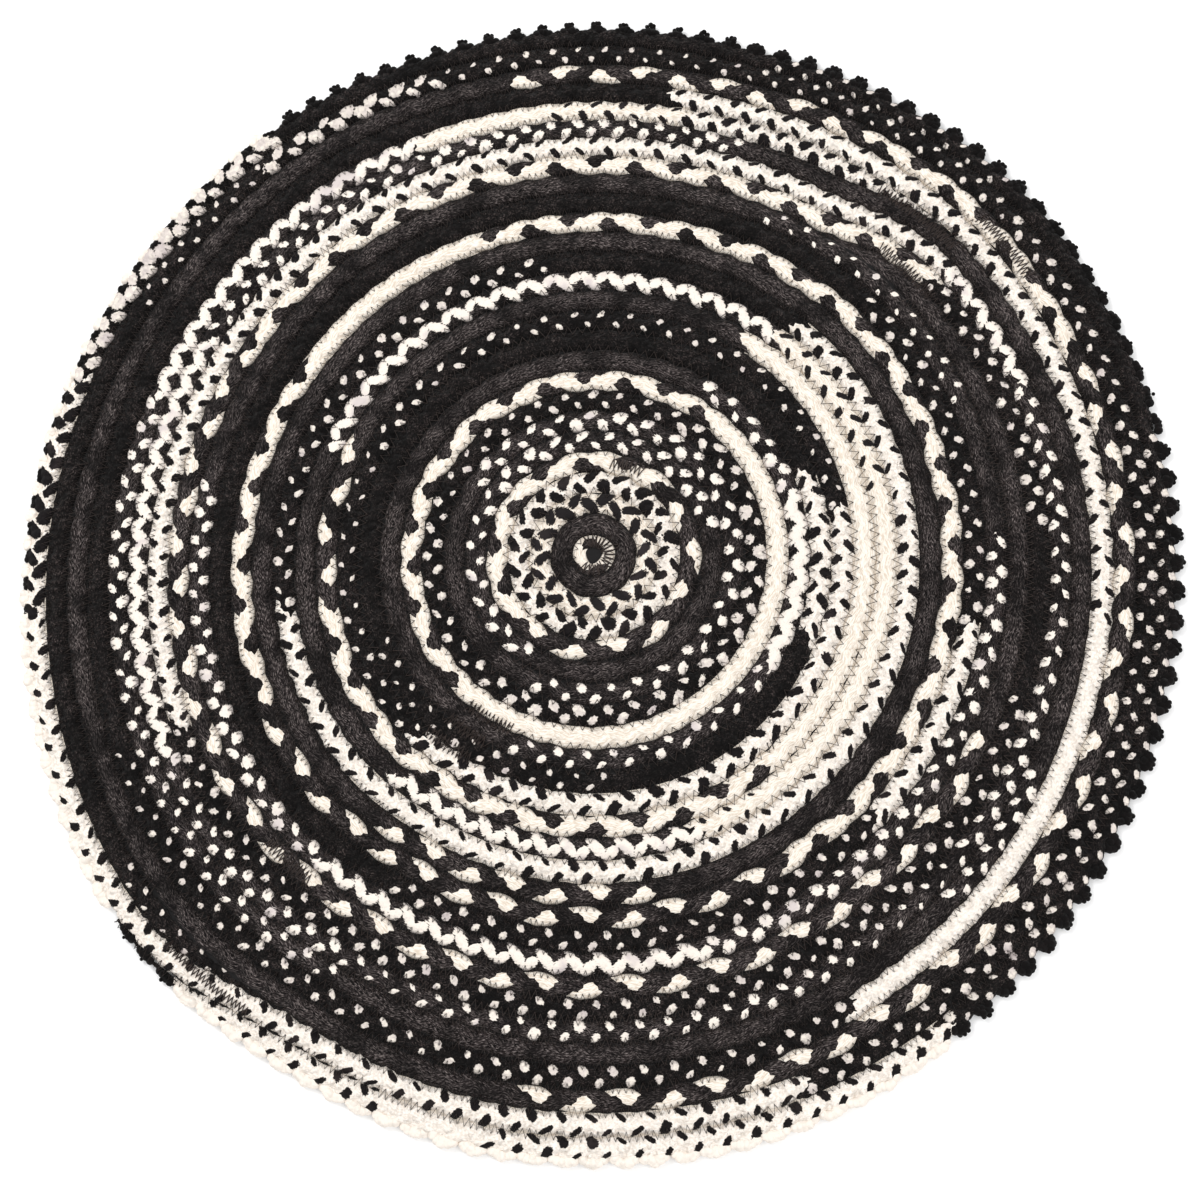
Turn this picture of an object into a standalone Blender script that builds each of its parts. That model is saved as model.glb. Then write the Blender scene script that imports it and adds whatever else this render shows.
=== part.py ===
"""Round braided rug: one length of flat three-strand braid, coiled on the flat and sewn edge to edge.

Metres, +Z up. The origin is the centre of the coil on the underside, and the rug lies flat on Z = 0.
The braid starts at the centre and winds outwards clockwise, seen from above. Each round keeps its
radius for most of the turn and moves out by one braid width at the step, where the rounds pass from
one ring to the next. The outer end is tapered there and sewn down against the rug's edge.
"""

import math

import bmesh
import bpy

# Driving dimensions
RUG_RADIUS = 0.610
ROUNDS = 27
BRAID_THICKNESS = 0.012
GROOVE_DEPTH = 0.0050
STEP_ANGLE = 240.0
STEP_LENGTH = 0.210

# Mesh of one round
COLUMNS = 72

# The rim's section, from the last crest down to the underside
SHOULDER_INSET = 0.0040
SHOULDER_HEIGHT = 0.0100
SIDE_HEIGHT = 0.0055
SOLE_INSET = 0.0030

# How far the outline stands out of a true circle or in from it, by angle anticlockwise from +X
OUTLINE = (
    # degrees, offset in metres
    (0, -0.002),
    (20, 0.000),
    (44, 0.007),
    (60, 0.001),
    (75, -0.004),
    (100, 0.000),
    (125, 0.005),
    (150, 0.000),
    (190, 0.001),
    (222, 0.009),
    (240, -0.001),
    (265, 0.004),
    (288, 0.005),
    (310, 0.000),
    (340, -0.003),
)

BLACK_COTTON = (0.019, 0.017, 0.018, 1.0)
COTTON_ROUGHNESS = 0.95

# Worked out from the driving dimensions
BRAID_WIDTH = RUG_RADIUS / ROUNDS
GROOVE_HEIGHT = BRAID_THICKNESS - GROOVE_DEPTH
END_COLUMN = ROUNDS * COLUMNS
TAIL_COLUMNS = round(COLUMNS * STEP_LENGTH / (math.tau * RUG_RADIUS))
TAIL_TIP = END_COLUMN + TAIL_COLUMNS
RIM_START = TAIL_TIP - COLUMNS


def clear_scene():
    for obj in list(bpy.data.objects):
        bpy.data.objects.remove(obj, do_unlink=True)


def ease(share):
    """0 to 1 with a soft start and end, and flat outside that range."""
    share = min(max(share, 0.0), 1.0)
    return share * share * (3.0 - 2.0 * share)


def outline_offset(degrees):
    """The outline's offset at this angle, eased from one row of OUTLINE to the next."""
    degrees %= 360
    following = OUTLINE[1:] + ((360, OUTLINE[0][1]),)
    for (start, low), (end, high) in zip(OUTLINE, following):
        if degrees <= end:
            return low + (high - low) * ease((degrees - start) / (end - start))


def crest_radius(column):
    """How far the middle of the braid lies from the centre, before the outline's unevenness."""
    turn, place = divmod(column, COLUMNS)
    if turn == 0:
        return 0.5 * BRAID_WIDTH * ease(place / COLUMNS)
    circumference = math.tau * turn * BRAID_WIDTH
    step_share = min(STEP_LENGTH / circumference, 1.0)
    return (turn - 0.5 + ease(place / COLUMNS / step_share)) * BRAID_WIDTH


def tail_radius(column):
    """The middle of the tapered outer end, between the last round and the rug's edge."""
    last_round_edge = crest_radius(column - COLUMNS) + 0.5 * BRAID_WIDTH
    return 0.5 * (last_round_edge + RUG_RADIUS)


def braid_radius(column):
    return tail_radius(column) if column > END_COLUMN else crest_radius(column)


def groove_radius(column):
    """The seam between this column and the one a turn further out."""
    if column + COLUMNS > END_COLUMN:
        return crest_radius(column) + 0.5 * BRAID_WIDTH
    return 0.5 * (crest_radius(column) + crest_radius(column + COLUMNS))


def make_row(mesh, columns, radius_of, height):
    """A row of vertices along the braid, by column."""
    row = {}
    for column in columns:
        degrees = STEP_ANGLE - 360.0 * column / COLUMNS
        radius = radius_of(column)
        uneven = outline_offset(degrees) * (radius / RUG_RADIUS) ** 2
        angle = math.radians(degrees)
        place = ((radius + uneven) * math.cos(angle), (radius + uneven) * math.sin(angle), height)
        row[column] = mesh.verts.new(place)
    return row


def bridge(mesh, inner, outer, pairs):
    """One face for each step along two rows. pairs yields the inner and the outer column of each end."""
    for (inner_a, outer_a), (inner_b, outer_b) in pairs:
        mesh.faces.new((inner[inner_a], inner[inner_b], outer[outer_b], outer[outer_a]))


def steps(first, last, ahead=0):
    """The column pairs from first to last, with the outer row ahead by that many columns."""
    return [((i, i + ahead), (i + 1, i + 1 + ahead)) for i in range(first, last)]


def make_coil():
    """The sewn coil as one closed solid: the top winds from the centre out, the underside is flat."""
    mesh = bmesh.new()
    last = TAIL_TIP - 1
    last_groove = last - COLUMNS
    rim = range(RIM_START, TAIL_TIP)
    crest = make_row(mesh, range(TAIL_TIP), braid_radius, BRAID_THICKNESS)
    groove = make_row(mesh, range(last_groove + 1), groove_radius, GROOVE_HEIGHT)
    shoulder = make_row(mesh, rim, lambda column: RUG_RADIUS - SHOULDER_INSET, SHOULDER_HEIGHT)
    side = make_row(mesh, rim, lambda column: RUG_RADIUS, SIDE_HEIGHT)
    sole = make_row(mesh, rim, lambda column: RUG_RADIUS - SOLE_INSET, 0.0)

    # The start of the braid at the centre
    for column in range(1, COLUMNS):
        mesh.faces.new((crest[0], crest[column], crest[column + 1]))
    mesh.faces.new((crest[0], crest[COLUMNS], groove[0]))

    # The rounds, each with its outer half and the inner half of the next one out
    bridge(mesh, crest, groove, steps(0, last_groove))
    bridge(mesh, groove, crest, steps(0, last_groove, ahead=COLUMNS))
    for column in range(last_groove):
        mesh.edges.get((groove[column], groove[column + 1])).smooth = False

    # The tip of the outer end, where the last groove runs out into the rim
    tip = (crest[last_groove], crest[RIM_START], shoulder[RIM_START])
    mesh.faces.new(tip + (shoulder[last], crest[last], groove[last_groove]))

    # The rounded rim and the flat underside
    bridge(mesh, crest, shoulder, steps(RIM_START, last))
    around = steps(RIM_START, last) + [((last, last), (RIM_START, RIM_START))]
    bridge(mesh, shoulder, side, around)
    bridge(mesh, side, sole, around)
    mesh.faces.new([sole[column] for column in rim])
    bmesh.ops.recalc_face_normals(mesh, faces=mesh.faces)
    return mesh


def make_material(name, color, roughness):
    material = bpy.data.materials.new(name)
    material.use_nodes = True
    shader = material.node_tree.nodes["Principled BSDF"]
    shader.inputs["Base Color"].default_value = color
    shader.inputs["Roughness"].default_value = roughness
    shader.inputs["Metallic"].default_value = 0.0
    material.diffuse_color = color
    return material


def make_rug():
    coil = make_coil()
    mesh = bpy.data.meshes.new("braided_rug")
    coil.to_mesh(mesh)
    coil.free()
    for face in mesh.polygons:
        face.use_smooth = True
    mesh.materials.append(make_material("black_cotton_braid", BLACK_COTTON, COTTON_ROUGHNESS))
    rug = bpy.data.objects.new("braided_rug", mesh)
    bpy.context.scene.collection.objects.link(rug)


clear_scene()
make_rug()
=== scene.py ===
import math

import bpy
import mathutils
import numpy as np
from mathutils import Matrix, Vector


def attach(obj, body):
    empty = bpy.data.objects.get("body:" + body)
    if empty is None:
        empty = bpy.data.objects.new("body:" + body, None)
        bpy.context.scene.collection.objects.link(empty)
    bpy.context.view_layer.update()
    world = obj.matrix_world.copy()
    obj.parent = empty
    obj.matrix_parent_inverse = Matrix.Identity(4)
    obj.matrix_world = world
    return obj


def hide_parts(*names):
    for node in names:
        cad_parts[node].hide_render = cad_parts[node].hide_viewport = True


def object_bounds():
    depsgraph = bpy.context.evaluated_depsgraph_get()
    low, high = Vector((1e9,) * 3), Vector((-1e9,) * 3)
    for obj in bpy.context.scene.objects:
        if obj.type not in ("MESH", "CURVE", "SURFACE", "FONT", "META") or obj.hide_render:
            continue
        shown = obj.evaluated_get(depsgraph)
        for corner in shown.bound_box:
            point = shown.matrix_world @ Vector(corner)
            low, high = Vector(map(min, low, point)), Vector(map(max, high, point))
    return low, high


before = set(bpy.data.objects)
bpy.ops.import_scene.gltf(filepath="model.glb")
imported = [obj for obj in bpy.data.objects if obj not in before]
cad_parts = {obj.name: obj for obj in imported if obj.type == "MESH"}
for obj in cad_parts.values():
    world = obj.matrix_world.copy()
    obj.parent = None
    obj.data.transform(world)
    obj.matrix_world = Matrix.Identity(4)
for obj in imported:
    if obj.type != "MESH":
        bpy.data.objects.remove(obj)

cad_bounds = [list(corner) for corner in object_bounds()]


# ----------------------------------------------------------------------
# The braid. Lengths of flat three-strand braid, plaited from smooth cotton and from chenille,
# in black and cream, and coiled edge to edge. Where a new length starts, its end is tapered and
# tucked in beside the last one, so each coil steps in by one braid width over a short stretch.
# ----------------------------------------------------------------------

RUG_RADIUS = 0.610
ROUNDS = 27
BRAID_WIDTH = RUG_RADIUS / ROUNDS
MID_HEIGHT = 0.5 * (cad_bounds[0][2] + cad_bounds[1][2])
PLAIT = 0.0885
RINGS_PER_PLAIT = 24

# One strand, by the names that the plait's tree gives its sizes. Turn is how sharply it folds, and
# the floor gap is the lowest it reaches, which leaves room for the thread on the underside
STRAND = {
    "Sides": 8,
    "Width": 0.0170,
    "Thickness": 0.0088,
    "Flatness": 0.7,
    "Plait": PLAIT,
    "Sway": 0.0041,
    "Turn": 1.4,
    "Lag": -0.045,
    "Lift": 0.0014,
    "Pinch": 0.15,
    "Floor Gap": 0.0012,
}

# Where a strand lies hidden under the others, in plaits after it crosses the middle
HIDDEN_PLACE = 0.11

# How narrow a length's tapered end gets, as a share of the braid's width
END_WIDTH = 0.12

# How far the outline stands out of a true circle, by angle anticlockwise from +X
OUTLINE = (
    # degrees, offset in metres
    (0, -0.002),
    (20, 0.000),
    (44, 0.007),
    (60, 0.001),
    (75, -0.004),
    (100, 0.000),
    (125, 0.005),
    (150, 0.000),
    (190, 0.001),
    (222, 0.009),
    (240, -0.001),
    (265, 0.004),
    (288, 0.005),
    (310, 0.000),
    (340, -0.003),
)

# The kinds of braid: what its three strands are (b black, c cream, smooth; K black, W cream,
# chenille), how large the flecks of the other colour are where each strand crosses over, how far
# they join into a zigzag, from 0 to 1, and which way they point along the coil
KINDS = {
    # name: (strands, fleck size, zigzag, facing)
    "black": ("bbb", 0.0, 0, 1),
    "cream": ("ccc", 0.0, 0, 1),
    "one cream": ("cbb", 0.0, 0, 1),
    "two cream": ("ccb", 0.0, 0, 1),
    "black fine": ("bbb", 0.55, 0, 1),
    "black flecked": ("bbb", 0.76, 0, 1),
    "black bold": ("bbb", 0.96, 0, 1),
    "bold back": ("bbb", 0.96, 0, -1),
    "zigzag": ("bbb", 1.00, 1, 1),
    "zigzag back": ("bbb", 1.05, 1, -1),
    "broad zigzag": ("bbb", 1.25, 1, 1),
    "cream fine": ("ccc", 0.55, 0, 1),
    "cream flecked": ("ccc", 0.84, 0, 1),
    "cream zigzag": ("ccc", 1.06, 0.5, 1),
    "dark": ("KKK", 0.0, 0, 1),
    "dark fine": ("KKK", 0.55, 0, 1),
    "dark flecked": ("KKK", 0.72, 0, 1),
    "dark bold": ("KKK", 1.00, 0, 1),
    "pale": ("WWW", 0.0, 0, 1),
    "pale flecked": ("WWW", 0.88, 0, 1),
    "pale bold": ("WWW", 1.12, 0, 1),
    "pale broad": ("WWW", 1.36, 0, 1),
    "pale chain": ("WWW", 1.60, 0, 1),
    "dark broad": ("KKK", 1.40, 0, 1),
}

# Each round from the rim inwards: where each length of braid starts, in degrees anticlockwise
PATTERN = {
    1: ((218, "dark"), (226, "pale flecked"), (250, "pale"), (260, "pale flecked"), (307, "dark flecked"),
        (13, "dark"), (42, "dark fine"), (71, "dark"), (127, "dark broad"), (160, "pale chain"),
        (186, "pale flecked")),
    2: ((219, "pale flecked"), (291, "dark flecked"), (40, "dark fine"), (107, "dark broad"),
        (129, "dark fine"), (150, "dark"), (214, "dark fine")),
    3: ((229, "black"), (261, "one cream"), (25, "two cream"), (58, "one cream"), (103, "black")),
    4: ((203, "dark fine"), (228, "dark flecked"), (300, "pale"), (352, "pale flecked"), (80, "dark")),
    5: ((40, "pale bold"), (80, "cream flecked"), (96, "cream"), (113, "zigzag back"),
        (160, "black bold"), (210, "black flecked"), (240, "black"), (314, "black bold"),
        (333, "black")),
    6: ((40, "black"), (71, "bold back"), (150, "zigzag back"), (205, "black bold"), (240, "black flecked"),
        (302, "black fine"), (318, "black bold"), (22, "zigzag")),
    7: ((40, "pale flecked"), (203, "dark flecked"), (342, "dark"), (3, "dark flecked")),
    8: ((40, "two cream"), (148, "one cream"), (337, "black")),
    9: ((229, "zigzag"), (286, "black bold"), (3, "black"), (22, "black fine"),
        (65, "black"), (169, "black bold")),
    10: ((240, "dark flecked"), (317, "pale flecked"), (349, "dark flecked"), (45, "dark")),
    11: ((205, "one cream"), (300, "two cream"), (108, "cream"), (147, "two cream")),
    12: ((230, "one cream"), (282, "black")),
    13: ((191, "pale flecked"), (48, "dark"), (100, "dark flecked")),
    14: ((229, "zigzag"), (292, "cream fine"), (305, "cream"), (12, "cream flecked"),
         (50, "zigzag"), (156, "black")),
    15: ((312, "cream"), (57, "black"), (148, "one cream"), (192, "two cream")),
    16: ((228, "pale bold"), (330, "pale flecked"), (10, "dark fine"), (114, "dark flecked"),
         (152, "dark fine")),
    17: ((340, "pale bold"), (20, "dark"), (200, "dark fine"), (275, "dark")),
    18: ((248, "black flecked"), (328, "broad zigzag"), (15, "black bold"), (57, "black")),
    19: ((229, "cream"), (50, "two cream")),
    20: ((230, "dark bold"), (60, "dark flecked")),
    21: ((247, "black flecked"), (300, "black bold"), (152, "black")),
    22: ((15, "black bold"), (240, "black")),
    23: ((240, "one cream"), (60, "two cream")),
    24: ((230, "pale broad"),),
    25: ((75, "cream zigzag"),),
    26: ((20, "black"),),
    27: ((30, "two cream"),),
}

# The outer rounds are sewn a little closer, which leaves room for the lumps along the rim
RIM_ALLOWANCE = 0.005
ALLOWANCE_ROUNDS = 8.5
ALLOWANCE_FADE = 5

# The rim, in degrees anticlockwise: how far the outermost braid is drawn in, as a share of its
# width, and the shape of the chenille that stands out where its strands fold over. Each stretch
# eases in over RIM_EASE degrees
RIM = (
    # from, drawn in, shape
    (13, 0.12, "bumps"),
    (41, 0.22, "lobes"),
    (75, 0.12, "spikes"),
    (127, 0.04, "puffs"),
    (160, 0.04, "two colours"),
    (186, 0.06, "scallops"),
    (218, 0.06, "bumps"),
    (227, 0.06, "scallops"),
    (305, 0.22, "lobes"),
)
RIM_EASE = 4

# The innermost round is a loop round a hollow: how far out it lies, in rounds, and how narrow it is
LOOP_OUTWARDS = 0.18
LOOP_NARROWED = 0.65

# The rounds that are one spiral, by the first of them: how many, and the degrees of each step
SPIRALS = {1: (2, 21), 5: (4, 20)}

# How many degrees apart the points of a coil's middle line are
COIL_STEP = 0.25


def ease(share):
    """0 to 1 with a soft start and end, and flat outside that range."""
    share = np.clip(share, 0.0, 1.0)
    return share * share * (3.0 - 2.0 * share)


def outline_offset(degrees):
    """The outline's offset at these angles, eased from one row of OUTLINE to the next."""
    angles = np.array([row[0] for row in OUTLINE] + [360.0])
    offsets = np.array([row[1] for row in OUTLINE] + [OUTLINE[0][1]])
    degrees = np.mod(degrees, 360)
    row = np.clip(np.searchsorted(angles, degrees, side="right") - 1, 0, len(OUTLINE) - 1)
    share = (degrees - angles[row]) / (angles[row + 1] - angles[row])
    return offsets[row] + (offsets[row + 1] - offsets[row]) * ease(share)


def drawn_in(degrees):
    """How far the outermost round is drawn in from the rim at these angles."""
    degrees = np.mod(degrees, 360)
    shares = np.full(len(degrees), RIM[-1][1])
    for (_, before, _), (start, share, _) in zip((RIM[-1],) + RIM[:-1], RIM):
        eased = before + (share - before) * ease((degrees - start) / RIM_EASE)
        shares = np.where(degrees > start, eased, shares)
    return shares


def on_rug(degrees, ring):
    """The middle height point at this angle on a round counted from the rim, 1 to ROUNDS."""
    radius = (ROUNDS + 0.5 - ring) * BRAID_WIDTH
    radius = radius - RIM_ALLOWANCE * ease((ALLOWANCE_ROUNDS - ring) / ALLOWANCE_FADE)
    radius = radius + outline_offset(degrees) * (radius / RUG_RADIUS) ** 2
    angle = np.radians(degrees)
    return np.stack([radius * np.cos(angle), radius * np.sin(angle), MID_HEIGHT + 0 * angle], axis=1)


def distances(path):
    """How far along this path each of its points lies."""
    return np.concatenate([[0], np.cumsum(np.linalg.norm(np.diff(path, axis=0), axis=1))])


def points_at(path, along, at):
    """The points of a path at these distances. along is where its own points lie."""
    return np.stack([np.interp(at, along, path[:, axis]) for axis in range(3)], axis=1)


def outer_side(path):
    """The level direction to the outer side of a path, at each of its points."""
    direction = np.gradient(path, axis=0)
    outward = np.stack([direction[:, 1], -direction[:, 0], np.zeros(len(path))], axis=1)
    return outward / np.linalg.norm(outward, axis=1)[:, None]


def lay_coil(first):
    """One coil of braid as arrays along its middle line, one row for each ring of the strands."""
    rounds, step = SPIRALS.get(first, (1, 0))
    opens = PATTERN[first][0][0]
    degrees = np.arange(opens, opens + 360 * rounds + step + 0.5 * COIL_STEP, COIL_STEP)
    turn, into = np.divmod(degrees - opens, 360)
    ring = first + np.minimum(turn, rounds - 1)
    squeeze = np.ones(len(degrees))
    if first == ROUNDS:
        ring = ring - LOOP_OUTWARDS
        squeeze = squeeze * LOOP_NARROWED
    if step:
        moved = ease(into / step)
        starting = turn == 0
        ending = turn == rounds
        ring = first + turn - 1 + moved
        ring[starting] = first - 0.5 + 0.5 * moved[starting]
        ring[ending] = first + rounds - 1 + 0.5 * moved[ending]
        squeeze[starting] = moved[starting]
        squeeze[ending] = 1.0 - moved[ending]
    if first == 1:
        share = drawn_in(degrees) * (turn == 0)
        share = np.where(turn == 1, drawn_in(degrees) * (1 - moved), share)
        ring = ring + 0.5 * share * squeeze
        squeeze = squeeze * (1 - share)
    place = on_rug(degrees, ring)
    along = distances(place)
    plaits = along[-1] / PLAIT
    count = round(plaits * RINGS_PER_PLAIT) if step else max(round(plaits), 1) * RINGS_PER_PLAIT
    turns = np.arange(count + 1) / RINGS_PER_PLAIT
    at = turns / turns[-1] * along[-1]
    place = points_at(place, along, at)
    return {
        "place": place,
        "outward": outer_side(place),
        "turns": turns,
        "squeeze": np.maximum(np.interp(at, along, squeeze), END_WIDTH),
        "degrees": np.interp(at, along, degrees),
    }


def lengths_of(first):
    """(start in degrees along the coil, kind) for each length of braid in this coil."""
    rounds, _ = SPIRALS.get(first, (1, 0))
    lengths = []
    last = -math.inf
    for ring in range(first, first + rounds):
        for start, kind in PATTERN[ring]:
            while start < last:
                start += 360
            lengths.append((start, kind))
            last = start
    return lengths


def new_object(name, data):
    """A new object of this mesh, lamp or camera, in the scene."""
    thing = bpy.data.objects.new(name, data)
    bpy.context.scene.collection.objects.link(thing)
    return thing


def make_guides(name, runs):
    """One mesh of loose edges that holds these runs of points, with their values as attributes."""
    vertices = np.concatenate([run["place"] for run in runs])
    edges = []
    first = 0
    for run in runs:
        count = len(run["place"])
        edges += [(first + i, first + i + 1) for i in range(count - 1)]
        first += count
    mesh = bpy.data.meshes.new(name)
    mesh.from_pydata(vertices.tolist(), edges, [])
    for value in runs[0]:
        if value == "place":
            continue
        numbers = np.concatenate([run[value] for run in runs]).astype(np.float32)
        kind, slot = ("FLOAT_VECTOR", "vector") if numbers.ndim == 2 else ("FLOAT", "value")
        mesh.attributes.new(value, kind, "POINT").data.foreach_set(slot, numbers.ravel())
    return new_object(name, mesh)


def strand_rings(coil, closed, start, end, number):
    """The rings of one strand between two angles, each end moved to where the strand is hidden."""
    last = len(coil["turns"]) - 1
    rings = []
    for degrees in (start, end):
        turns = np.interp(degrees, coil["degrees"], coil["turns"]) + number / 3
        hidden = round(2 * (turns - HIDDEN_PLACE)) / 2 + HIDDEN_PLACE
        rings.append(round((hidden - number / 3) * RINGS_PER_PLAIT))
    if not closed and start <= coil["degrees"][0]:
        rings[0] = 0
    if not closed and end >= coil["degrees"][-1]:
        rings[1] = last
    return np.arange(rings[0], rings[1] + 1)


coils = {}
ring = 1
while ring <= ROUNDS:
    coils[ring] = lay_coil(ring)
    ring += SPIRALS.get(ring, (1, 0))[0]

# The strands by yarn, and by outer or inner rounds for the blacks, which most of the rug is made of
INNER_FROM_ROUND = 10
strand_runs = {}
for first, coil in coils.items():
    lengths = lengths_of(first)
    ends = [start for start, _ in lengths[1:]] + [math.inf]
    closed = first not in SPIRALS
    for (start, kind), end in zip(lengths, ends):
        strands, fleck, zigzag, facing = KINDS[kind]
        for number, yarn in enumerate(strands):
            rings = strand_rings(coil, closed, start, end, number)
            around = rings % (len(coil["turns"]) - 1) if closed else rings
            run = {name: coil[name][around] for name in ("place", "outward", "squeeze")}
            run["braid"] = rings / RINGS_PER_PLAIT + 100 * first
            run["turns"] = rings / RINGS_PER_PLAIT + number / 3
            run["fleck"] = np.full(len(rings), fleck)
            run["zigzag"] = np.full(len(rings), float(zigzag))
            run["facing"] = np.full(len(rings), float(facing))
            zone = "inner" if first >= INNER_FROM_ROUND else "outer"
            strand_runs.setdefault((yarn, zone if yarn in "bK" else "all"), []).append(run)


MATH = "ShaderNodeMath"
VECTOR_MATH = "ShaderNodeVectorMath"
COMBINE = "ShaderNodeCombineXYZ"
SEPARATE = "ShaderNodeSeparateXYZ"
MIX = "ShaderNodeMix"


def give(tree, node, inputs):
    """Gives a node its inputs, in order or by name: each is a value, an output of another node, or
    another node, which stands for the first output that it has in use."""
    for name, value in inputs.items() if isinstance(inputs, dict) else enumerate(inputs):
        used = [socket for socket in node.inputs if socket.enabled]
        socket = used[name] if isinstance(name, int) else next(s for s in used if s.name == name)
        if isinstance(value, bpy.types.Node):
            value = next(output for output in value.outputs if output.enabled)
        if isinstance(value, bpy.types.NodeSocket):
            tree.links.new(value, socket)
        else:
            socket.default_value = value


def add(tree, kind, inputs=(), does=None, **settings):
    """Adds a node with its settings and its inputs. does is the operation of one that calculates."""
    node = tree.nodes.new(kind)
    if does:
        node.operation = does
    for name, value in settings.items():
        setattr(node, name, value)
    give(tree, node, inputs)
    return node


def new_tree(name, sockets):
    """An empty geometry tree with these named inputs. sockets gives each the end of its type's name."""
    tree = bpy.data.node_groups.new(name, "GeometryNodeTree")
    tree.interface.new_socket("Geometry", in_out="OUTPUT", socket_type="NodeSocketGeometry")
    for socket, kind in {"Geometry": "Geometry", **sockets}.items():
        tree.interface.new_socket(socket, in_out="INPUT", socket_type="NodeSocket" + kind)
    return tree, add(tree, "NodeGroupInput").outputs


def close_tree(tree, geometry, material):
    """Realizes what the tree made, gives it its material and ends the tree."""
    plain = add(tree, "GeometryNodeRealizeInstances", [geometry])
    smooth = add(tree, "GeometryNodeSetShadeSmooth", {"Geometry": plain})
    coloured = add(tree, "GeometryNodeSetMaterial", {"Geometry": smooth, "Material": material})
    add(tree, "NodeGroupOutput", [coloured])


def grow(guides, tree, name, values):
    """Runs the tree on the guides and returns the result as a plain mesh object of this name."""
    modifier = guides.modifiers.new("grow", "NODES")
    modifier.node_group = tree
    for item in tree.interface.items_tree:
        if item.in_out == "INPUT" and item.name in values:
            modifier[item.identifier] = values[item.name]
    depsgraph = bpy.context.evaluated_depsgraph_get()
    mesh = bpy.data.meshes.new_from_object(guides.evaluated_get(depsgraph))
    mesh.name = name
    bpy.data.objects.remove(guides)
    return new_object(name, mesh)


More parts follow.
